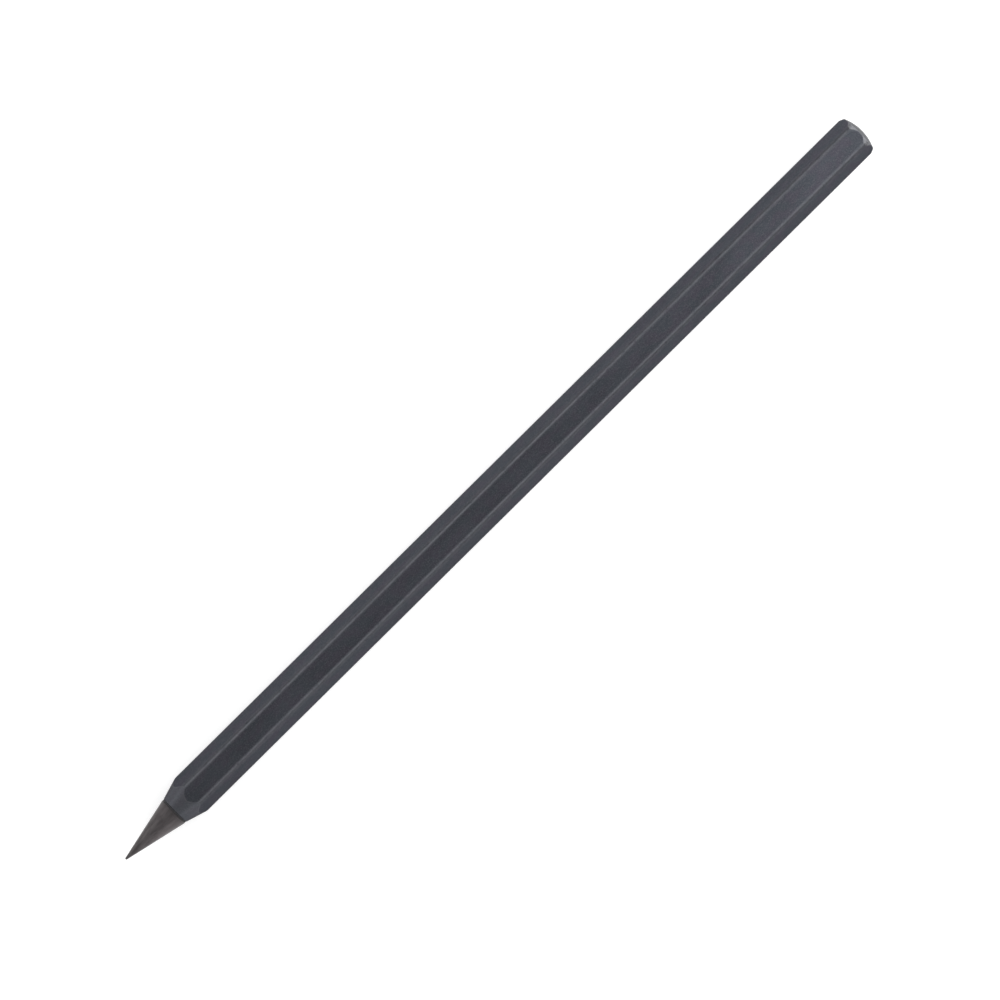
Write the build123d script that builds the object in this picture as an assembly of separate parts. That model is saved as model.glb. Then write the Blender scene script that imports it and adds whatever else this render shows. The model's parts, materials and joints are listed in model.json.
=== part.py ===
from build123d import *
import os
from math import asin, atan2, ceil, cos, hypot, pi, radians, sin, tan

# An inkless metal pencil: a hexagonal metal barrel with a graphite-alloy cone that screws into
# its nose. The pencil lies on one flat of the barrel, its axis along X and its point at -X, with
# the origin under the middle of its length and +Z up. Every piece is drawn on the X axis first,
# with X measured from the point, and is then set down in that frame. All sizes are in mm.

# Driving dimensions of the whole pencil
LENGTH = 174.0
ACROSS_FLATS = 7.0
RIDGE_RADIUS = 1.2

# Writing tip: the cone and the round at its point
TIP_LENGTH = 11.35
TIP_BASE_DIAMETER = 5.36
TIP_POINT_RADIUS = 0.2

# Washer between the tip and the nose, its rim set in from the rim of the tip
WASHER_THICKNESS = 0.3
WASHER_INSET = 0.05
WASHER_BORE_CLEARANCE = 0.1

# Nose and tail of the barrel
NOSE_STEP = 0.05
NOSE_HALF_ANGLE = 16.8
NOSE_SHOULDER_RADIUS = 8.0
SHOULDER_SHARE = 0.9
TAIL_DOME_RADIUS = 8.4
TAIL_RIM_RADIUS = 0.3
TAIL_CHAMFER_ANGLE = 21.0
TAIL_CHAMFER_DEPTH = 0.5
PLUG_LENGTH = 8.0

# Right-hand thread of the tip
THREAD_DIAMETER = 2.5
THREAD_PITCH = 0.45
THREAD_ENGAGEMENT = 4.5
THREAD_CLEARANCE = 0.08
THREAD_FLANK_ANGLE = 30.0
CREST_SHARE = 1 / 4
LAND_SHARE = 1 / 8

# Threaded bush in the nose
INSERT_WALL = 0.45
INSERT_LENGTH = 7.5
INSERT_RECESS = 0.2

# Plain end of the stud, bonded in the tip
SPIGOT_DIAMETER = 1.8
SPIGOT_LENGTH = 4.0
SPIGOT_END_GAP = 0.3

# Ring grooves that hold adhesive, on the spigot, the bush and the plug
GROOVE_DEPTH = 0.12
GROOVE_WIDTH = 0.4
SPIGOT_GROOVE_COUNT = 3
INSERT_GROOVE_COUNT = 2
PLUG_GROOVE_COUNT = 2

# Radial room for adhesive, the break on machined edges, and the finer one on the rims of the joint
BOND_GAP = 0.02
EDGE_BREAK = 0.1
RIM_BREAK = 0.06

# Places along the axis, measured from the point
nose_face = TIP_LENGTH + WASHER_THICKNESS
insert_front = nose_face + INSERT_RECESS
insert_back = insert_front + INSERT_LENGTH
stud_back = insert_front + THREAD_ENGAGEMENT
spigot_front = TIP_LENGTH - SPIGOT_LENGTH
plug_front = LENGTH - PLUG_LENGTH

# Radii that follow from the driving dimensions
corner_radius = ACROSS_FLATS / 2 / cos(pi / 6)
tip_base_radius = TIP_BASE_DIAMETER / 2
nose_face_radius = tip_base_radius + NOSE_STEP
spigot_radius = SPIGOT_DIAMETER / 2
flank_slope = tan(radians(THREAD_FLANK_ANGLE))
flank_room = THREAD_CLEARANCE / 2

# A tooth reaches into the wall that carries it until its turns have closed half of their land
tooth_sink = THREAD_PITCH * LAND_SHARE / 4 / flank_slope


def tooth_half_width(radius, room):
    """Half the axial width of the thread's tooth at a radius, grown by room on every side."""
    grown = room / cos(radians(THREAD_FLANK_ANGLE))
    return THREAD_PITCH * CREST_SHARE / 2 + (THREAD_DIAMETER / 2 - radius) * flank_slope + grown


def space_half_width(radius, room):
    """Half the axial width of the space between neighbouring turns of that grown tooth."""
    return THREAD_PITCH / 2 - tooth_half_width(radius, room)


def land_radius(room):
    """Radius at which neighbouring turns of the grown tooth leave one land between them."""
    crest_space = space_half_width(THREAD_DIAMETER / 2, room)
    return THREAD_DIAMETER / 2 - (crest_space - THREAD_PITCH * LAND_SHARE / 2) / flank_slope


stud_core_radius = land_radius(-flank_room)
stud_crest_radius = THREAD_DIAMETER / 2 - flank_room
insert_bore_radius = land_radius(flank_room)
insert_root_radius = THREAD_DIAMETER / 2 + flank_room
insert_radius = insert_root_radius + INSERT_WALL
bore_radius = insert_radius + BOND_GAP
plug_radius = bore_radius - BOND_GAP


def turned(*outline):
    """Solid turned about the X axis from an outline of (place, radius) points, closed on the axis."""
    first = (outline[0][0], 0)
    last = (outline[-1][0], 0)
    return revolve(make_face(Polyline(first, *outline, last, close=True)), Axis.X)


def rod(start, end, radius):
    """Plain round bar on the X axis."""
    return turned((start, radius), (end, radius))


def broken_rod(start, end, radius):
    """Round bar on the X axis with both of its end edges broken."""
    return turned(
        (start, radius - EDGE_BREAK),
        (start + EDGE_BREAK, radius),
        (end - EDGE_BREAK, radius),
        (end, radius - EDGE_BREAK),
    )


def ring_grooves(start, end, radius, count):
    """Rings, evenly spread between two places, that cut adhesive grooves into a bar."""
    step = (end - start) / (count + 1)
    rings = Part()
    for number in range(1, count + 1):
        middle = start + step * number
        outer = rod(middle - GROOVE_WIDTH / 2, middle + GROOVE_WIDTH / 2, radius + GROOVE_DEPTH)
        inner = rod(middle - GROOVE_WIDTH, middle + GROOVE_WIDTH, radius - GROOVE_DEPTH)
        rings += outer - inner
    return rings


def thread_turns(inner, outer, start, end, blank):
    """Right-hand tooth, one turn after another from start to end, each trimmed to a blank.

    The section of the tooth is given as an inner and an outer (radius, half width) pair.
    """
    radius = outer[0]
    helix = Helix(THREAD_PITCH, THREAD_PITCH, radius, (start, 0, 0), (1, 0, 0))
    first = helix @ 0
    outward = Vector(0, first.Y, first.Z).normalized()
    section = Plane(origin=first - outward * radius, x_dir=outward, z_dir=helix % 0)
    corners = [(inner[0], -inner[1]), (outer[0], -outer[1]), outer, inner]
    turn = sweep(section * Polygon(*corners, align=None), helix, is_frenet=True)
    count = ceil((end - start) / THREAD_PITCH)
    return [Pos(THREAD_PITCH * number, 0, 0) * turn & blank for number in range(count)]


def dome_place(radius):
    """Place along the axis of the tail's dome at a radius."""
    return LENGTH - TAIL_DOME_RADIUS + (TAIL_DOME_RADIUS**2 - radius**2) ** 0.5


def barrel_outline():
    """Turned shape that bounds the barrel: cone nose, round shoulder, chamfered and domed tail."""
    cone_run = (corner_radius - nose_face_radius) / tan(radians(NOSE_HALF_ANGLE))
    cone_start = nose_face + RIM_BREAK
    shoulder = (cone_start + cone_run, corner_radius)
    rim_radius = corner_radius - TAIL_CHAMFER_DEPTH
    rim = (dome_place(rim_radius), rim_radius)
    chamfer_run = TAIL_CHAMFER_DEPTH / tan(radians(TAIL_CHAMFER_ANGLE))
    sides = Polyline(
        (LENGTH, 0),
        (nose_face, 0),
        (nose_face, nose_face_radius - RIM_BREAK),
        (cone_start, nose_face_radius),
        shoulder,
        (rim[0] - chamfer_run, corner_radius),
        rim,
    )
    face = make_face(sides + RadiusArc(rim, (LENGTH, 0), TAIL_DOME_RADIUS))
    cone_length = hypot(cone_run, corner_radius - nose_face_radius)
    shoulder_limit = cone_length / tan(radians(NOSE_HALF_ANGLE) / 2)
    shoulder_corner = face.vertices().sort_by_distance(shoulder)[0]
    face = fillet(shoulder_corner, min(NOSE_SHOULDER_RADIUS, SHOULDER_SHARE * shoulder_limit))
    rim_corner = face.vertices().sort_by_distance(rim)[0]
    face = fillet(rim_corner, TAIL_RIM_RADIUS)
    return revolve(face, Axis.X)


def bore_cutter():
    """Round bar that cuts the bore, flaring at both ends to break the edges of its mouths."""
    mouth = bore_radius + EDGE_BREAK
    tail_mouth = dome_place(mouth)
    return turned(
        (nose_face - EDGE_BREAK, mouth + EDGE_BREAK),
        (nose_face + EDGE_BREAK, bore_radius),
        (tail_mouth - EDGE_BREAK, bore_radius),
        (LENGTH, mouth + LENGTH - tail_mouth),
    )


def make_barrel():
    """Hexagonal bar with rounded ridges, turned at nose and tail, and bored right through."""
    hexagon = RegularPolygon(ACROSS_FLATS / 2, 6, major_radius=False)
    section = fillet(hexagon.vertices(), RIDGE_RADIUS)
    bar = extrude(Plane.YZ * section, LENGTH)
    return (bar & barrel_outline()) - bore_cutter()


def make_tail_plug():
    """Plug bonded in the tail of the bore, its face carrying on the dome of the barrel."""
    plug = turned(
        (plug_front, plug_radius - EDGE_BREAK),
        (plug_front + EDGE_BREAK, plug_radius),
        (LENGTH, plug_radius),
    )
    plug -= ring_grooves(plug_front, LENGTH, plug_radius, PLUG_GROOVE_COUNT)
    return plug & barrel_outline()


def make_thread_insert():
    """Bush bonded just inside the nose, with the female thread between its lead-ins."""
    bush = broken_rod(insert_front, insert_back, insert_radius)
    bush -= ring_grooves(insert_front, insert_back, insert_radius, INSERT_GROOVE_COUNT)
    bush -= rod(insert_front, insert_back, insert_root_radius)
    wall = insert_root_radius + tooth_sink
    clear = insert_bore_radius - tooth_sink
    lead_in = wall - clear
    sleeve = rod(insert_front, insert_back, wall + tooth_sink)
    sleeve -= turned(
        (insert_front, insert_root_radius),
        (insert_front + lead_in, clear),
        (insert_back - lead_in, clear),
        (insert_back, insert_root_radius),
    )
    return bush + thread_turns(
        (insert_bore_radius, space_half_width(insert_bore_radius, flank_room)),
        (wall, space_half_width(wall, flank_room)),
        insert_front - THREAD_PITCH / 2,
        insert_back,
        sleeve,
    )


def make_seat_washer():
    """Thin flat ring that the base of the tip is screwed down on."""
    ring = rod(TIP_LENGTH, nose_face, tip_base_radius - WASHER_INSET)
    return ring - rod(TIP_LENGTH, nose_face, stud_crest_radius + WASHER_BORE_CLEARANCE)


def make_tip_stud():
    """Stud with a grooved spigot in the tip, a neck through the washer and the male thread."""
    spigot = broken_rod(spigot_front, TIP_LENGTH, spigot_radius)
    spigot -= ring_grooves(spigot_front, TIP_LENGTH, spigot_radius, SPIGOT_GROOVE_COUNT)
    shank = rod(TIP_LENGTH, stud_back, stud_core_radius)
    root = stud_core_radius - tooth_sink
    clear = stud_crest_radius + tooth_sink
    lead_in = clear - root
    blank = turned(
        (nose_face, stud_core_radius),
        (nose_face + lead_in, clear),
        (stud_back - lead_in, clear),
        (stud_back, stud_core_radius),
    )
    return spigot + shank + thread_turns(
        (root, tooth_half_width(root, -flank_room)),
        (stud_crest_radius, tooth_half_width(stud_crest_radius, -flank_room)),
        insert_front - THREAD_PITCH,
        stud_back,
        blank,
    )


def make_writing_tip():
    """Cone with a rounded point, a broken rim and a blind socket for the spigot in its base."""
    cone_end = TIP_LENGTH - RIM_BREAK
    reach = hypot(cone_end - TIP_POINT_RADIUS, tip_base_radius)
    slope = atan2(tip_base_radius, cone_end - TIP_POINT_RADIUS) - asin(TIP_POINT_RADIUS / reach)
    point_end = (TIP_POINT_RADIUS * (1 - sin(slope)), TIP_POINT_RADIUS * cos(slope))
    point = RadiusArc((0, 0), point_end, TIP_POINT_RADIUS)
    sides = Polyline(
        point_end,
        (cone_end, tip_base_radius),
        (TIP_LENGTH, tip_base_radius - RIM_BREAK),
        (TIP_LENGTH, 0),
        (0, 0),
    )
    cone = revolve(make_face(point + sides), Axis.X)
    return cone - rod(spigot_front - SPIGOT_END_GAP, TIP_LENGTH, spigot_radius + BOND_GAP)


pieces = {
    "barrel": make_barrel(),
    "tail_plug": make_tail_plug(),
    "thread_insert": make_thread_insert(),
    "seat_washer": make_seat_washer(),
    "tip_stud": make_tip_stud(),
    "writing_tip": make_writing_tip(),
}

os.makedirs("parts", exist_ok=True)
for name, piece in pieces.items():
    export_step(Pos(-LENGTH / 2, 0, ACROSS_FLATS / 2) * piece, f"parts/{name}.step")
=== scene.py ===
import json
from math import asin, atan2, cos, hypot, pi, radians, sin, tan

import bpy
import numpy as np
from mathutils import Matrix, Vector


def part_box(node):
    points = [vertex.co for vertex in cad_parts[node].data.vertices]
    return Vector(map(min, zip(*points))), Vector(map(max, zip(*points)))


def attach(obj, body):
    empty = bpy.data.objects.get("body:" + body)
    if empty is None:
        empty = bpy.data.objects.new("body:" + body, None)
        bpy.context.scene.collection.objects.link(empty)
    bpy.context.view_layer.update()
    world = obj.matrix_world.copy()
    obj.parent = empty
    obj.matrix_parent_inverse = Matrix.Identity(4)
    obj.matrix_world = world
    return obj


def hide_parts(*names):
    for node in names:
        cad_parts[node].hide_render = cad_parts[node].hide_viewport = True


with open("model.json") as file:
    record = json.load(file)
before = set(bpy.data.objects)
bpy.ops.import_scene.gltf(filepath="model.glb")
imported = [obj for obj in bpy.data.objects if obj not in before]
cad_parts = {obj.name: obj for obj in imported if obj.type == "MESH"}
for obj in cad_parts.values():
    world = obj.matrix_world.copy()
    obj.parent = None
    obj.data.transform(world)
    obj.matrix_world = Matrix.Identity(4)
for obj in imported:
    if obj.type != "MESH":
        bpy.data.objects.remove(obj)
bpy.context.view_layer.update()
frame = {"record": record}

# An inkless metal pencil lying on a pale floor. Its meshes and the patterns of its finishes are worked
# out in millimetres, with x along the pencil's axis, and skin() sets the meshes down in metres.
MM = 0.001


def box_mm(node):
    """Lowest and highest corner of a CAD node, in millimetres."""
    low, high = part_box(node)
    return np.array(low) / MM, np.array(high) / MM


# Places and radii that the frame gives
barrel_low, barrel_high = box_mm("barrel")
tip_low, tip_high = box_mm("writing_tip")
washer_low, washer_high = box_mm("seat_washer")
stud_low, stud_high = box_mm("tip_stud")
bush_low, bush_high = box_mm("thread_insert")
plug_low, plug_high = box_mm("tail_plug")
POINT_X, TIP_BACK_X = tip_low[0], tip_high[0]
NOSE_X, TAIL_X = barrel_low[0], plug_high[0]
STUD_BACK_X = stud_high[0]
AXIS_Z = (barrel_low[2] + barrel_high[2]) / 2
FLAT_REACH = (barrel_high[2] - barrel_low[2]) / 2
TIP_RADIUS = tip_high[1]
WASHER_RADIUS = washer_high[1]
BUSH_RADIUS = bush_high[1]
PLUG_RADIUS = plug_high[1]
STUD_CREST = stud_high[1]
THREAD_PITCH = 2 * pi / frame["record"]["behaviour"]["couplings"][0]["ratio"] / MM

# Barrel: rounds of its ridges, turned nose and tail, bore
RIDGE_ROUND = 1.2
CORNER_REACH = FLAT_REACH / cos(pi / 6)
RIDGE_REACH = (FLAT_REACH - RIDGE_ROUND) / cos(pi / 6) + RIDGE_ROUND
HALF_FLAT = (FLAT_REACH - RIDGE_ROUND) * tan(pi / 6)
ROUND_START = hypot(HALF_FLAT, FLAT_REACH)
NOSE_STEP = 0.05
NOSE_FACE_RADIUS = TIP_RADIUS + NOSE_STEP
NOSE_ANGLE = radians(16.8)
SHOULDER_ROUND = 8.0
DOME_RADIUS = 8.4
CHAMFER_DEPTH = 0.5
CHAMFER_ANGLE = radians(21)
TAIL_RIM_ROUND = 0.3
BUSH_ROOM = 0.02
BORE_RADIUS = BUSH_RADIUS + BUSH_ROOM
EDGE_BREAK = 0.1
RIM_BREAK = 0.06
FINE_ROUND = 0.025

# Where the rows of the turned ends start and stop: on the plain bar, on the nose's cone and on the dome
NOSE_LEAD = 3.0
TAIL_LEAD = 1.0
CONE_STOP = 0.3
DOME_STOP = 0.3

# Edges of the cuts, and shares of lighter bare metal on the turned ends, at the tail partly a painted
# reflection
CUT_SOFTNESS = 0.05
CUT_WEAR = 0.12
NOSE_BARE = 0.15
TAIL_BARE_AND_REFLECTION = 0.75

# Writing tip and what holds it
POINT_ROUND = 0.2
SOCKET_RADIUS = 0.92
SOCKET_ROOM = 0.3
SOCKET_X = stud_low[0] - SOCKET_ROOM
STUD_ROOM = 0.1
WASHER_BORE = STUD_CREST + STUD_ROOM
WASHER_ROUND = 0.06
WASHER_ROOM = 0.01
SPIGOT_RADIUS = 0.9
STUD_CORE = 0.926
BUSH_BORE = 1.086
BUSH_ROOT = 1.29
CREST_SHARE = 0.28
ROOT_SHARE = 0.2
GROOVE_DEPTH = 0.12
GROOVE_WIDTH = 0.4
PLUG_GROOVES = 2
BUSH_GROOVES = 2
SPIGOT_GROOVES = 3

# Fineness of the meshes
ARC_STEPS = 6
DENSE_STEPS = 80
HOLD = 0.04
COLUMNS = 144
FLAT_STEPS = 15
RIDGE_STEPS = 11
END_STEPS = 18
BODY_STEPS = 28
DOME_STEPS = 14
ROWS_PER_PITCH = 18


def rounded_outline(corners, rounds, closed=False, steps=ARC_STEPS):
    """Straight runs between corners, with an arc at each corner that touches both of its runs.

    The arc's spoke swings from the one run's square to the other's by the sine rule, and one more
    point a little way up each run holds that run straight. An open outline keeps its two ends.
    """
    corners = np.array(corners, float)
    ends = corners[:1], corners[-1:]
    back = np.roll(corners, 1, axis=0) - corners
    ahead = np.roll(corners, -1, axis=0) - corners
    if not closed:
        corners, back, ahead = corners[1:-1], back[1:-1], ahead[1:-1]
    back /= np.linalg.norm(back, axis=1, keepdims=True)
    ahead /= np.linalg.norm(ahead, axis=1, keepdims=True)
    turn = pi - np.arccos(np.clip((back * ahead).sum(axis=1), -1, 1))[:, None]
    rounds = np.broadcast_to(np.array(rounds, float).reshape(-1, 1), turn.shape)
    reach = rounds * np.tan(turn / 2)
    inward = (back + ahead) / np.linalg.norm(back + ahead, axis=1, keepdims=True)
    centre = corners + inward * rounds / np.cos(turn / 2)
    first = (corners + back * reach - centre)[:, None]
    last = (corners + ahead * reach - centre)[:, None]
    share = np.linspace(0, 1, steps + 1)[None, :, None]
    swing = turn[:, None]
    spoke = (np.sin((1 - share) * swing) * first + np.sin(share * swing) * last) / np.sin(swing)
    before = (corners + back * (reach + HOLD))[:, None]
    after = (corners + ahead * (reach + HOLD))[:, None]
    points = np.concatenate([before, centre[:, None] + spoke, after], axis=1).reshape(-1, 2)
    return points if closed else np.concatenate([ends[0], points, ends[1]])


def ring_points(x, radius, angle):
    """Points at a place along the axis and a radius out from it, turned by an angle from the top."""
    spread = np.broadcast_arrays(x, radius * np.sin(angle), AXIS_Z + radius * np.cos(angle))
    return np.stack(spread, axis=-1)


def even_angles():
    """Angles of the columns of a turned piece, in equal steps round the axis."""
    return np.linspace(0, 2 * pi, COLUMNS, endpoint=False)


def spun(outline, angle):
    """Grid of an outline of (x, radius) points carried round the axis through the given angles."""
    return ring_points(outline[:, :1], outline[:, 1:], angle)


def skin(name, points, closed, marks=None):
    """Closed mesh over a grid of points, given with rows along an outline and columns round the axis.

    Each face joins two neighbouring rows and columns, and the last column joins the first. Where the
    outline is closed, the last row joins the first too. Otherwise its two ends lie on the axis and
    become poles, joined to their rows by fans. Marks are grids of values, kept as attributes.
    """
    grid = points if closed else points[1:-1]
    rows, columns = grid.shape[:2]
    here = np.arange(rows * columns).reshape(rows, columns)
    below = np.roll(here, -1, axis=0)
    quads = np.stack([here, below, np.roll(below, -1, axis=1), np.roll(here, -1, axis=1)], axis=-1)
    vertices = grid.reshape(-1, 3)
    faces = (quads if closed else quads[:-1]).reshape(-1, 4).tolist()
    if not closed:
        vertices = np.concatenate([vertices, points[0, :1], points[-1, :1]])
        first, last = rows * columns, rows * columns + 1
        start, end = here[0], here[-1]
        faces += np.stack([np.full(columns, first), start, np.roll(start, -1)], axis=-1).tolist()
        faces += np.stack([end, np.full(columns, last), np.roll(end, -1)], axis=-1).tolist()
    mesh = bpy.data.meshes.new(name)
    mesh.from_pydata((vertices * MM).tolist(), [], faces)
    mesh.polygons.foreach_set("use_smooth", np.ones(len(mesh.polygons), bool))
    mesh.update()
    for mark, values in (marks or {}).items():
        if not closed:
            values = np.concatenate([values[1:-1].ravel(), values[0, :1], values[-1, :1]])
        mesh.attributes.new(mark, "FLOAT", "POINT").data.foreach_set("value", values.ravel())
    piece = bpy.data.objects.new(name, mesh)
    bpy.context.scene.collection.objects.link(piece)
    return piece


def grooved(start, end, radius, count):
    """Corners of a bar's side with ring grooves evenly spread from start to end."""
    middle = start + (end - start) * np.arange(1, count + 1) / (count + 1)
    half = GROOVE_WIDTH / 2
    floor = radius - GROOVE_DEPTH
    x = np.stack([middle - half, middle - half, middle + half, middle + half], axis=1).ravel()
    return list(zip(x, np.tile([radius, floor, floor, radius], count)))


def thread_wave(x, angle):
    """Height of the right-hand thread, from 0 at its root to 1 at its crest.

    A triangle wave of the place along the axis, in pitches, plus the angle, in turns, is cut off flat
    at the root and at the crest.
    """
    phase = (x - NOSE_X) / THREAD_PITCH + angle / (2 * pi)
    wave = np.abs(2 * (phase - np.floor(phase)) - 1)
    return np.clip((wave - ROOT_SHARE) / (1 - ROOT_SHARE - CREST_SHARE), 0, 1)


def hexagon_columns():
    """Polar radius and angle of points round the barrel's section.

    One flat, with its points closer together towards its edges, and the round of the ridge after it
    are turned by sixths of a turn.
    """
    turn = np.linspace(0, pi / 3, RIDGE_STEPS + 2)[1:-1]
    flat = HALF_FLAT * np.sin(np.linspace(-pi / 2, pi / 2, FLAT_STEPS))
    across = np.concatenate([flat, HALF_FLAT + RIDGE_ROUND * np.sin(turn)])
    round_out = FLAT_REACH - RIDGE_ROUND * (1 - np.cos(turn))
    outward = np.concatenate([np.full(FLAT_STEPS, FLAT_REACH), round_out])
    sixth = np.arange(6)[:, None] * pi / 3
    return np.tile(np.hypot(across, outward), 6), (sixth + np.arctan2(across, outward)).ravel()


def ridge_share(hexagon):
    """Rises from 0 where the round of a ridge starts to 1 on the middle of the ridge."""
    return np.clip((hexagon - ROUND_START) / (RIDGE_REACH - ROUND_START), 0, 1)


def soft_least(first, second):
    """The smaller of two radii, rounded off where they are within CUT_SOFTNESS of each other."""
    share = np.clip(0.5 + 0.5 * (second - first) / CUT_SOFTNESS, 0, 1)
    return second + (first - second) * share - CUT_SOFTNESS * share * (1 - share)


def turned_end(outline, hexagon):
    """Rows over a turned end of the barrel, from the plain bar to the end of the outline.

    The outline runs from the full bar inwards. Each column finds the place where the outline has come
    down to its own radius of the hexagon, starts a lead before it and goes on to the end, with its
    rows closest together at that cut. The radius is the soft least of hexagon and outline. The wear
    and highlight mark is that of the ridges up to the cut, partly wear and partly a painted highlight,
    and a bell curve of wear over the edge of the cut.
    """
    run = np.linalg.norm(np.diff(outline, axis=0), axis=1)
    length = np.concatenate([[0], np.cumsum(run)])
    cut = np.interp(-hexagon, -outline[:, 1], length)
    share = np.linspace(-1, 1, 2 * END_STEPS + 1)[:, None]
    along = cut + np.sign(share) * share**2 * np.where(share < 0, cut, length[-1] - cut)
    x = np.interp(along, length, outline[:, 0])
    radius = soft_least(hexagon, np.interp(along, length, outline[:, 1]))
    ridge = np.where(share < 0, ridge_share(hexagon), 0)
    return x, radius, np.maximum(ridge, np.exp(-((along - cut) / CUT_WEAR) ** 2))


def dome_x(radius):
    """Place along the axis of the tail's dome at a radius."""
    return TAIL_X - DOME_RADIUS + np.sqrt(DOME_RADIUS**2 - radius**2)


def dome_outline(first, last):
    """Points of the tail's dome from one radius to another."""
    radius = np.linspace(first, last, DOME_STEPS)
    return np.stack([dome_x(radius), radius], axis=1)


def make_barrel():
    """Hexagonal bar with rounded ridges: cone nose, chamfered and domed tail, bored right through.

    The rows run from the front of the nose's cone over the bar to the dome, and back through the bore.
    The turned ends are lighter past their cuts, the nose a little and the tail a lot: barer metal, and
    on the tail's dome partly a painted reflection.
    """
    hexagon, angle = hexagon_columns()
    cone_front = NOSE_X + CONE_STOP
    cone_radius = NOSE_FACE_RADIUS + (cone_front - NOSE_X - RIM_BREAK) * tan(NOSE_ANGLE)
    shoulder_x = cone_front + (CORNER_REACH - cone_radius) / tan(NOSE_ANGLE)
    nose_corners = [
        (shoulder_x + NOSE_LEAD, CORNER_REACH),
        (shoulder_x, CORNER_REACH),
        (cone_front, cone_radius),
    ]
    nose = rounded_outline(nose_corners, SHOULDER_ROUND, steps=DENSE_STEPS)
    rim = CORNER_REACH - CHAMFER_DEPTH
    chamfer_x = dome_x(rim) - CHAMFER_DEPTH / tan(CHAMFER_ANGLE)
    dome_start = rim - DOME_STOP
    tail_corners = [
        (chamfer_x - TAIL_LEAD, CORNER_REACH),
        (chamfer_x, CORNER_REACH),
        (dome_x(rim), rim),
        (dome_x(dome_start), dome_start),
    ]
    tail = rounded_outline(tail_corners, [FINE_ROUND, TAIL_RIM_ROUND], steps=DENSE_STEPS)
    nose_x, nose_radius, nose_wear_and_highlight = turned_end(nose, hexagon)
    tail_x, tail_radius, tail_wear_and_highlight = turned_end(tail, hexagon)
    share = np.linspace(0, 1, BODY_STEPS)[1:-1, None]
    bar_x = nose_x[0] + (tail_x[0] - nose_x[0]) * share
    x = np.concatenate([nose_x[::-1], bar_x, tail_x])
    radius = np.concatenate([nose_radius[::-1], np.broadcast_to(hexagon, bar_x.shape), tail_radius])
    mouth = BORE_RADIUS + EDGE_BREAK
    dome = dome_outline(dome_start, mouth + EDGE_BREAK)
    inside_corners = [
        dome[-2],
        (dome_x(mouth), mouth),
        (dome_x(mouth) - EDGE_BREAK, BORE_RADIUS),
        (NOSE_X + EDGE_BREAK, BORE_RADIUS),
        (NOSE_X, mouth),
        (NOSE_X, NOSE_FACE_RADIUS - RIM_BREAK),
        (NOSE_X + RIM_BREAK, NOSE_FACE_RADIUS),
        (cone_front, cone_radius),
    ]
    inside = spun(np.concatenate([dome[1:-1], rounded_outline(inside_corners, FINE_ROUND)[1:-1]]), angle)
    bar_wear_and_highlight = np.broadcast_to(ridge_share(hexagon), bar_x.shape)
    # Ridge and cut-edge mark: wear, and along the ridges partly a painted highlight
    wear_and_highlight = np.concatenate([nose_wear_and_highlight[::-1], bar_wear_and_highlight, tail_wear_and_highlight, np.zeros(inside.shape[:2])])
    past_cut = np.repeat([0.0, 1.0], [END_STEPS + 1, END_STEPS])
    inside_bare_and_reflection = np.where(inside[:, 0, 0] > 0, TAIL_BARE_AND_REFLECTION, NOSE_BARE)
    # Lighter turned ends: bare metal, and at the tail partly a painted reflection
    bare_and_reflection = [NOSE_BARE * past_cut[::-1], np.zeros(len(bar_x)), TAIL_BARE_AND_REFLECTION * past_cut, inside_bare_and_reflection]
    turned = np.broadcast_to(np.concatenate(bare_and_reflection)[:, None], wear_and_highlight.shape)
    points = np.concatenate([ring_points(x, radius, angle), inside])
    return skin("hex_barrel", points, True, {"wear_and_highlight": wear_and_highlight, "turned": turned})


def make_tail_plug():
    """Plug in the tail of the bore, with ring grooves in its side and its face a part of the dome."""
    front = plug_low[0]
    corners = [
        (front, 0),
        (front, PLUG_RADIUS - EDGE_BREAK),
        (front + EDGE_BREAK, PLUG_RADIUS),
        *grooved(front, TAIL_X, PLUG_RADIUS, PLUG_GROOVES),
        (dome_x(PLUG_RADIUS), PLUG_RADIUS),
        (dome_x(PLUG_RADIUS - EDGE_BREAK), PLUG_RADIUS - EDGE_BREAK),
    ]
    side = rounded_outline(corners, FINE_ROUND)
    dome = dome_outline(PLUG_RADIUS - EDGE_BREAK, 0)[1:]
    points = spun(np.concatenate([side, dome]), even_angles())
    # The plug's face takes the tail's share of bare metal and painted reflection
    return skin("tail_stopper", points, False, {"turned": np.full(points.shape[:2], TAIL_BARE_AND_REFLECTION)})


def make_bush():
    """Threaded bush: a grooved sleeve whose bore is the wider of its thread and the cones of its mouths.

    The thread is a wave of the place along the axis and the angle. Each mouth's cone narrows from the
    thread's root by as much as it goes in.
    """
    front, back = bush_low[0], bush_high[0]
    angle = even_angles()
    corners = [
        (front, BUSH_ROOT),
        (front, BUSH_RADIUS - EDGE_BREAK),
        (front + EDGE_BREAK, BUSH_RADIUS),
        *grooved(front, back, BUSH_RADIUS, BUSH_GROOVES),
        (back - EDGE_BREAK, BUSH_RADIUS),
        (back, BUSH_RADIUS - EDGE_BREAK),
        (back, BUSH_ROOT),
    ]
    outside = spun(rounded_outline(corners, FINE_ROUND), angle)
    rows = int((back - front) / THREAD_PITCH * ROWS_PER_PITCH)
    x = np.linspace(back, front, rows)[1:-1, None]
    bore = BUSH_BORE + (BUSH_ROOT - BUSH_BORE) * thread_wave(x, angle)
    mouths = BUSH_ROOT - np.minimum(back - x, x - front)
    thread = ring_points(x, np.maximum(bore, mouths), angle)
    return skin("nose_bush", np.concatenate([outside, thread]), True)


def make_washer():
    """Thin ring with rounded rims, a hair thinner than its seat so that the tip turns clear of it."""
    front, back = washer_low[0] + WASHER_ROOM, washer_high[0] - WASHER_ROOM
    corners = [
        (front, WASHER_RADIUS),
        (back, WASHER_RADIUS),
        (back, WASHER_BORE),
        (front, WASHER_BORE),
    ]
    outline = rounded_outline(corners, WASHER_ROUND, closed=True)
    return skin("joint_washer", spun(outline, even_angles()), True)


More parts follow.
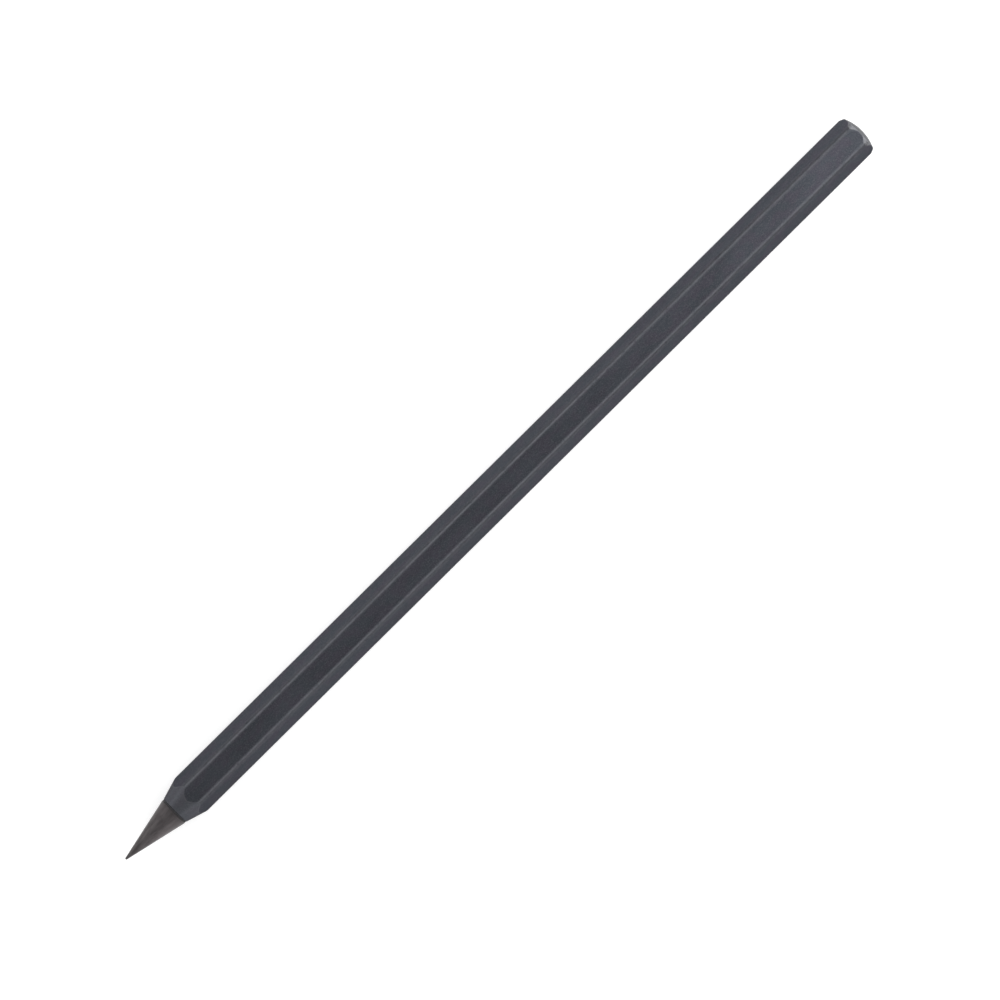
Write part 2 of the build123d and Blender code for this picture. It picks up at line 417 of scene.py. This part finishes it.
def make_stud():
    """Stud: a grooved spigot, then a core with the thread on it.

    The thread is a wave of the place along the axis and the angle. It is cut down to nothing towards
    the front of the nose and towards the back of the stud.
    """
    front = stud_low[0]
    angle = even_angles()
    spigot_corners = [
        (front, 0),
        (front, SPIGOT_RADIUS - EDGE_BREAK),
        (front + EDGE_BREAK, SPIGOT_RADIUS),
        *grooved(front, TIP_BACK_X, SPIGOT_RADIUS, SPIGOT_GROOVES),
        (TIP_BACK_X, SPIGOT_RADIUS),
    ]
    spigot = spun(rounded_outline(spigot_corners, FINE_ROUND), angle)
    rows = int((STUD_BACK_X - TIP_BACK_X) / THREAD_PITCH * ROWS_PER_PITCH)
    x = np.linspace(TIP_BACK_X, STUD_BACK_X, rows)[1:-1, None]
    fade = np.minimum(x - NOSE_X, STUD_BACK_X - x)
    tooth = np.minimum((STUD_CREST - STUD_CORE) * thread_wave(x, angle), fade)
    thread = ring_points(x, STUD_CORE + np.maximum(tooth, 0), angle)
    end_corners = [(x[-1, 0], STUD_CORE), (STUD_BACK_X, STUD_CORE - FINE_ROUND), (STUD_BACK_X, 0)]
    end = spun(rounded_outline(end_corners, FINE_ROUND / 2), angle)[1:]
    return skin("threaded_stud", np.concatenate([spigot, thread, end]), False)


def make_tip():
    """Cone with a ball point and a broken rim, and a blind socket in its base."""
    cone_back = TIP_BACK_X - RIM_BREAK
    run = cone_back - POINT_X - POINT_ROUND
    slope = atan2(TIP_RADIUS, run) - asin(POINT_ROUND / hypot(run, TIP_RADIUS))
    ball = np.linspace(0, pi / 2 - slope, DOME_STEPS)
    ball_x = POINT_X + POINT_ROUND * (1 - np.cos(ball))
    point = np.stack([ball_x, POINT_ROUND * np.sin(ball)], axis=1)
    corners = [
        point[-1],
        (cone_back, TIP_RADIUS),
        (TIP_BACK_X, TIP_RADIUS - RIM_BREAK),
        (TIP_BACK_X, SOCKET_RADIUS),
        (SOCKET_X, SOCKET_RADIUS),
        (SOCKET_X, 0),
    ]
    outline = np.concatenate([point[:-1], rounded_outline(corners, FINE_ROUND)])
    return skin("graphite_tip", spun(outline, even_angles()), False)


# Finishes. A Mix node that mixes colours takes its share and its two colours at these of its inputs,
# and gives the colour between them at this output.
MIX_SHARE = 0
MIX_FIRST = 6
MIX_SECOND = 7
MIX_COLOUR = 2


class Term:
    """A socket of a node tree. Arithmetic on it adds Math nodes."""

    def __init__(self, nodes, socket):
        self.nodes = nodes
        self.socket = socket

    def math(self, operation, first, second):
        return self.nodes.node("ShaderNodeMath", {"operation": operation}, {0: first, 1: second})

    def __add__(self, other):
        return self.math("ADD", self, other)

    def __sub__(self, other):
        return self.math("SUBTRACT", self, other)

    def __rsub__(self, other):
        return self.math("SUBTRACT", other, self)

    def __mul__(self, other):
        return self.math("MULTIPLY", self, other)

    def __pow__(self, other):
        return self.math("POWER", self, other)

    __radd__ = __add__
    __rmul__ = __mul__


class Nodes:
    """A node tree being filled. node() adds any node, and the methods after it are the patterns used."""

    def __init__(self, tree):
        self.tree = tree
        tree.nodes.clear()

    def node(self, kind, settings=None, sockets=None, output=0):
        """Adds a node: its settings are set first, then the values or links of its sockets."""
        made = self.tree.nodes.new(kind)
        for name, value in (settings or {}).items():
            setattr(made, name, value)
        for name, value in (sockets or {}).items():
            if isinstance(value, Term):
                self.tree.links.new(value.socket, made.inputs[name])
            else:
                made.inputs[name].default_value = value
        return Term(self, made.outputs[output]) if made.outputs else None

    def place(self):
        """Object coordinates in millimetres, measured from the pencil's axis."""
        spot = self.node("ShaderNodeTexCoord", output="Object")
        axis = {"Location": (0, 0, -AXIS_Z), "Scale": (1 / MM, 1 / MM, 1 / MM)}
        return self.node("ShaderNodeMapping", {"vector_type": "POINT"}, {"Vector": spot, **axis})

    def split(self, vector):
        """The three parts of a vector."""
        first = self.node("ShaderNodeSeparateXYZ", None, {"Vector": vector})
        return [Term(self, socket) for socket in first.socket.node.outputs]

    def from_axis(self, place):
        """Distance of a place from the pencil's axis."""
        y, z = self.split(place)[1:]
        return (y * y + z * z) ** 0.5

    def cloud(self, place, size, detail=2.0):
        """Noise between 0 and 1 whose patches are about size millimetres along x, y and z."""
        scaled = self.node("ShaderNodeVectorMath", {"operation": "DIVIDE"}, {0: place, 1: size})
        return self.node("ShaderNodeTexNoise", None, {"Vector": scaled, "Scale": 1.0, "Detail": detail})

    def rise(self, value, low, high):
        """Smooth step from 0 at low to 1 at high."""
        sockets = {"Value": value, "From Min": low, "From Max": high}
        return self.node("ShaderNodeMapRange", {"interpolation_type": "SMOOTHSTEP"}, sockets)

    def blend(self, share, first, second):
        """Colour between two others."""
        first, second = (c if isinstance(c, Term) else (*c, 1) for c in (first, second))
        sockets = {MIX_SHARE: share, MIX_FIRST: first, MIX_SECOND: second}
        return self.node("ShaderNodeMix", {"data_type": "RGBA"}, sockets, MIX_COLOUR)

    def bump(self, height, depth, under=None):
        """Normal of a surface whose height of 1 stands depth millimetres proud."""
        sockets = {"Height": height, "Distance": depth * MM, "Strength": 1.0}
        if under:
            sockets["Normal"] = under
        return self.node("ShaderNodeBump", None, sockets)

    def surface(self, sockets):
        """Closes a finish with its shader."""
        shader = self.node("ShaderNodeBsdfPrincipled", None, sockets)
        self.node("ShaderNodeOutputMaterial", None, {"Surface": shader})


def new_finish(name):
    """A material by that name, and the nodes to fill it with."""
    material = bpy.data.materials.new(name)
    material.use_nodes = True
    return material, Nodes(material.node_tree)


def barrel_coat():
    """Blue-grey metallic coat with soft clouds of plum and slate, specks and fine flake.

    Faint lines run along the bar. It is darker behind the nose, a painted shade. Ridges are lighter,
    partly rubbed and partly a painted highlight, and cut edges are rubbed lighter. Turning rings show
    where nose and tail are lighter: barer metal, and at the tail also a painted reflection.
    """
    material, nodes = new_finish("barrel_coat")
    place = nodes.place()
    x = nodes.split(place)[0]
    wear_and_highlight = nodes.node("ShaderNodeAttribute", {"attribute_name": "wear_and_highlight"}, output="Fac")
    turned = nodes.node("ShaderNodeAttribute", {"attribute_name": "turned"}, output="Fac")
    cloud = nodes.cloud(place, (9, 3, 3), 3)
    tint = nodes.cloud(place, (2.6, 1.6, 1.6), 1)
    speck = nodes.cloud(place, (0.7, 0.5, 0.5), 1)
    flake = nodes.cloud(place, (0.22, 0.22, 0.22), 1)
    line = nodes.cloud(place, (14, 0.14, 0.14), 2)
    outward = nodes.node("ShaderNodeCombineXYZ", None, {"X": nodes.from_axis(place)})
    ring = nodes.cloud(outward, (0.1, 1, 1), 2)
    # Painted shade: the bar darkens towards the nose
    painted_nose_shade = 1 - nodes.rise(x, NOSE_X + 3, NOSE_X + 24)
    # Ridges and cut edges lighter: partly rubbed, and along the ridges partly a painted highlight
    rub_and_highlight = wear_and_highlight * nodes.rise(nodes.cloud(place, (1.1, 0.5, 0.5), 2), 0.1, 0.55)
    colour = nodes.blend(nodes.rise(cloud, 0.3, 0.7), (0.053, 0.0555, 0.067), (0.0635, 0.0665, 0.08))
    colour = nodes.blend(0.5 * nodes.rise(tint, 0.45, 0.65), colour, (0.0655, 0.059, 0.0765))
    colour = nodes.blend(0.5 * nodes.rise(1 - tint, 0.45, 0.65), colour, (0.053, 0.0615, 0.072))
    colour = nodes.blend(0.35 * nodes.rise(speck, 0.45, 0.7), colour, (0.076, 0.079, 0.092))
    colour = nodes.blend(0.45 * nodes.rise(flake, 0.5, 0.75), colour, (0.104, 0.106, 0.116))
    colour = nodes.blend(0.4 * nodes.rise(1 - flake, 0.52, 0.78), colour, (0.034, 0.035, 0.039))
    # Painted shade: darker towards the nose
    colour = nodes.blend(0.2 * painted_nose_shade, colour, (0.038, 0.039, 0.044))
    # Turned ends lighter: bare metal, and on the tail's dome partly a painted reflection
    colour = nodes.blend(turned * (0.75 + 0.5 * ring), colour, (0.2, 0.203, 0.215))
    # Lighter ridges and cut edges: rub, and on the ridges partly a painted highlight
    colour = nodes.blend(0.4 * rub_and_highlight, colour, (0.14, 0.142, 0.152))
    rough = 0.38 + 0.1 * (cloud - 0.5) + 0.12 * (flake - 0.5) - 0.06 * rub_and_highlight - 0.15 * turned
    cut = ring * nodes.rise(turned, 0.02, 0.12)
    nodes.surface({
        "Base Color": colour,
        "Metallic": 1.0,
        "Specular Tint": (0.5, 0.5, 0.5, 1),
        "Roughness": rough,
        "Normal": nodes.bump(cut, 0.006, nodes.bump(line, 0.003, nodes.bump(flake, 0.006))),
    })
    return material


def graphite_alloy():
    """Warm dark alloy with turning rings round the cone and smears along it.

    One side is painted lighter, a painted highlight. The point is greyer, the back is stained darker,
    and dark dust lies against the washer.
    """
    material, nodes = new_finish("graphite_alloy")
    place = nodes.place()
    x, y = nodes.split(place)[:2]
    ring = nodes.cloud(place, (0.07, 4, 4), 2)
    smear = nodes.cloud(place, (2.2, 0.5, 0.5), 3)
    grain = nodes.cloud(place, (0.12, 0.12, 0.12), 2)
    point = 1 - nodes.rise(x, POINT_X + 0.3, POINT_X + 2.4)
    stain = nodes.rise(x, TIP_BACK_X - 8, TIP_BACK_X)
    dust = nodes.rise(x, TIP_BACK_X - 0.9, TIP_BACK_X)
    highlight_side = nodes.rise(0 - y, 0.1, 1.4)
    behind_point = nodes.rise(x, POINT_X + 3, POINT_X + 7)
    near_washer = nodes.rise(x, TIP_BACK_X - 2.6, TIP_BACK_X - 0.8)
    # Painted highlight: one side of the cone lighter, fading by the point and the washer
    painted_side_highlight = highlight_side * behind_point * (1 - 0.7 * near_washer)
    colour = nodes.blend(nodes.rise(smear, 0.3, 0.7), (0.072, 0.065, 0.067), (0.11, 0.1, 0.102))
    colour = nodes.blend(0.4 * nodes.rise(grain, 0.5, 0.75), colour, (0.126, 0.118, 0.12))
    colour = nodes.blend(0.4 * stain, colour, (0.063, 0.055, 0.057))
    # Painted highlight on one side of the cone
    colour = nodes.blend(0.45 * painted_side_highlight, colour, (0.15, 0.135, 0.137))
    colour = nodes.blend(0.4 * dust, colour, (0.045, 0.043, 0.044))
    colour = nodes.blend(0.5 * point, colour, (0.1, 0.1, 0.102))
    rough = 0.4 + 0.14 * (ring - 0.5) + 0.1 * (smear - 0.5) + 0.06 * point
    nodes.surface({
        "Base Color": colour,
        "Metallic": 0.9,
        "Roughness": rough,
        "Normal": nodes.bump(ring, 0.004, nodes.bump(grain, 0.003)),
    })
    return material


def black_rubber():
    """Matt black rubber with a fine moulded grain and a little pale dust."""
    material, nodes = new_finish("black_rubber")
    place = nodes.place()
    grain = nodes.cloud(place, (0.05, 0.05, 0.05), 2)
    dust = nodes.rise(nodes.cloud(place, (0.3, 0.3, 0.3), 3), 0.6, 0.8)
    nodes.surface({
        "Base Color": nodes.blend(0.35 * dust, (0.028, 0.028, 0.03), (0.07, 0.07, 0.072)),
        "Roughness": 0.78 + 0.2 * (grain - 0.5),
        "Normal": nodes.bump(grain, 0.004),
    })
    return material


def turned_metal(name, dull, bright, low, high):
    """Turned metal with fine rings and stains, from dull at one radius to bright at another."""
    material, nodes = new_finish(name)
    place = nodes.place()
    ring = nodes.cloud(place, (0.05, 3, 3), 2)
    stain = nodes.cloud(place, (0.9, 0.5, 0.5), 3)
    share = nodes.rise(nodes.from_axis(place), low, high) * (0.75 + 0.5 * (stain - 0.5))
    nodes.surface({
        "Base Color": nodes.blend(share, dull, bright),
        "Metallic": 1.0,
        "Roughness": 0.32 + 0.16 * (ring - 0.5) + 0.18 * (stain - 0.5),
        "Normal": nodes.bump(ring, 0.003),
    })
    return material


def dress(piece, material, node, body):
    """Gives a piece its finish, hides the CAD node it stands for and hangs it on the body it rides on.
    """
    piece.data.materials.append(material)
    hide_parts(node)
    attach(piece, body)


# The six pieces, each in its finish
coat = barrel_coat()
brass = turned_metal("nose_brass", (0.32, 0.2, 0.07), (0.78, 0.57, 0.26), BUSH_BORE, BUSH_ROOT)
steel = turned_metal("stud_steel", (0.16, 0.16, 0.165), (0.6, 0.6, 0.6), STUD_CORE, STUD_CREST)
dress(make_barrel(), coat, "barrel", "barrel")
dress(make_tail_plug(), coat, "tail_plug", "barrel")
dress(make_bush(), brass, "thread_insert", "barrel")
dress(make_washer(), black_rubber(), "seat_washer", "washer")
dress(make_stud(), steel, "tip_stud", "tip")
dress(make_tip(), graphite_alloy(), "writing_tip", "tip")

# Camera: looks almost straight down, leaning a little to one side of the pencil and towards its nose.
# The pencil crosses the picture from lower left to upper right. The lens is long, because the picture
# has next to no perspective.
PHOTO_SIDE = 1000
PENCIL_PIXELS = 1035.85
MIDDLE_PIXEL = (493.8, 493.8)
PENCIL_RISE = radians(44.709)
SIDE_LEAN = radians(2.2)
NOSE_LEAN = radians(1.5)
LENS = 300.0
SENSOR = 36.0


def make_camera():
    """Camera that shows the pencil's middle at its pixel and the pencil at its size and slope.

    Along is the pencil's axis as the picture shows it, and across is square to it. The picture's right
    and up are these two, turned by the pencil's slope.
    """
    back = Vector((-tan(NOSE_LEAN), tan(SIDE_LEAN), 1)).normalized()
    along = (Vector((1, 0, 0)) - back * back.x).normalized()
    across = back.cross(along)
    right = cos(PENCIL_RISE) * along - sin(PENCIL_RISE) * across
    up = sin(PENCIL_RISE) * along + cos(PENCIL_RISE) * across
    pixel = (TAIL_X - POINT_X) * cos(NOSE_LEAN) * MM / PENCIL_PIXELS
    centre = (PHOTO_SIDE - 1) / 2
    shift = right * (centre - MIDDLE_PIXEL[0]) - up * (centre - MIDDLE_PIXEL[1])
    middle = Vector(((POINT_X + TAIL_X) / 2, 0, AXIS_Z)) * MM
    data = bpy.data.cameras.new("camera")
    data.lens = LENS
    data.sensor_width = SENSOR
    camera = bpy.data.objects.new("camera", data)
    distance = pixel * PHOTO_SIDE * LENS / SENSOR
    turn = Matrix((right, up, back)).transposed()
    camera.matrix_world = Matrix.Translation(middle + shift * pixel + back * distance) @ turn.to_4x4()
    bpy.context.scene.collection.objects.link(camera)
    bpy.context.scene.camera = camera


# Studio: a pale floor, an even room that is a little darker overhead, and soft boxes round the pencil
FLOOR_SIDE = 6.0
FLOOR_DROP = 0.00002
FLOOR_COLOUR = (0.8, 0.8, 0.8, 1)
SHOWN_COLOUR = (0.6, 0.6, 0.6, 1)
SHOWN_GLOW = 0.6
ROOM_TOP = 0.74
ROOM_SIDE = 0.86
ROOM_FRONT = 0.2
ROOM_SLANT = 0.5


def make_floor():
    """Pale floor that reads as white and keeps the pencil's soft shadow.

    To the camera and in reflections it is a darker matt floor, which holds the shadow, with a glow
    that lifts it to white. To all other light it is a plain matt floor.
    """
    half = FLOOR_SIDE / 2
    corners = [(-half, -half), (half, -half), (half, half), (-half, half)]
    mesh = bpy.data.meshes.new("floor")
    mesh.from_pydata([(x, y, -FLOOR_DROP) for x, y in corners], [], [(0, 1, 2, 3)])
    floor = bpy.data.objects.new("floor", mesh)
    bpy.context.scene.collection.objects.link(floor)
    material, nodes = new_finish("pale_floor")
    path = nodes.node("ShaderNodeLightPath").socket.node.outputs
    names = ("Is Camera Ray", "Is Glossy Ray", "Is Transmission Ray")
    sent, mirrored, passed = (Term(nodes, path[name]) for name in names)
    rays = sent + mirrored + passed
    seen = nodes.node("ShaderNodeMath", {"operation": "MINIMUM"}, {0: rays, 1: 1.0})
    matt = nodes.node("ShaderNodeBsdfDiffuse", None, {"Color": FLOOR_COLOUR})
    shade = nodes.node("ShaderNodeBsdfDiffuse", None, {"Color": SHOWN_COLOUR})
    glow = nodes.node("ShaderNodeEmission", None, {"Strength": SHOWN_GLOW})
    shown = nodes.node("ShaderNodeAddShader", None, {0: shade, 1: glow})
    either = nodes.node("ShaderNodeMixShader", None, {0: seen, 1: matt, 2: shown})
    nodes.node("ShaderNodeOutputMaterial", None, {"Surface": either})
    mesh.materials.append(material)


def make_room():
    """Even light from all round, brighter at the horizon, before the nose and to one side."""
    world = bpy.data.worlds.new("room")
    bpy.context.scene.world = world
    world.use_nodes = True
    nodes = Nodes(world.node_tree)
    direction = nodes.node("ShaderNodeTexCoord", output="Generated")
    x, y, height = nodes.split(direction)
    low = (1 - nodes.rise(height, 0.1, 1.0)) * (1 - ROOM_SLANT * y)
    strength = ROOM_TOP + (ROOM_SIDE - ROOM_TOP) * low + ROOM_FRONT * nodes.rise(0 - x, 0.1, 0.6)
    light = nodes.node("ShaderNodeBackground", None, {"Strength": strength})
    nodes.node("ShaderNodeOutputWorld", None, {"Surface": light})


def soft_box(name, place, aim, size, brightness):
    """Lamp of that size and brightness, facing a point of the floor."""
    data = bpy.data.lights.new(name, "AREA")
    data.shape = "RECTANGLE"
    data.size, data.size_y = size
    data.energy = brightness * pi * size[0] * size[1]
    lamp = bpy.data.objects.new(name, data)
    lamp.location = place
    lamp.rotation_euler = (Vector(place) - Vector(aim)).to_track_quat("Z", "Y").to_euler()
    lamp.visible_camera = False
    bpy.context.scene.collection.objects.link(lamp)


make_camera()
make_floor()
make_room()
soft_box("end_box", (0.5, 0.0, 0.18), (0.0, 0.0, 0.05), (0.92, 0.34), 1.5)
soft_box("tail_box", (0.207, -0.03, 0.26), (0.207, -0.03, 0.0), (0.2, 0.28), 2.15)
soft_box("left_strip", (0.1, 0.45, 0.51), (0.1, 0.0, 0.0), (0.52, 0.24), 1.5)
soft_box("right_strip", (0.18, -0.45, 0.51), (0.18, 0.0, 0.0), (0.64, 0.24), 1.45)
soft_box("left_nose_box", (-0.4, 0.56, 0.3), (-0.07, 0.0, 0.0), (0.36, 0.3), 0.7)
soft_box("right_nose_box", (-0.4, -0.56, 0.3), (-0.07, 0.0, 0.0), (0.36, 0.3), 0.5)

bpy.context.scene.view_settings.view_transform = "Standard"
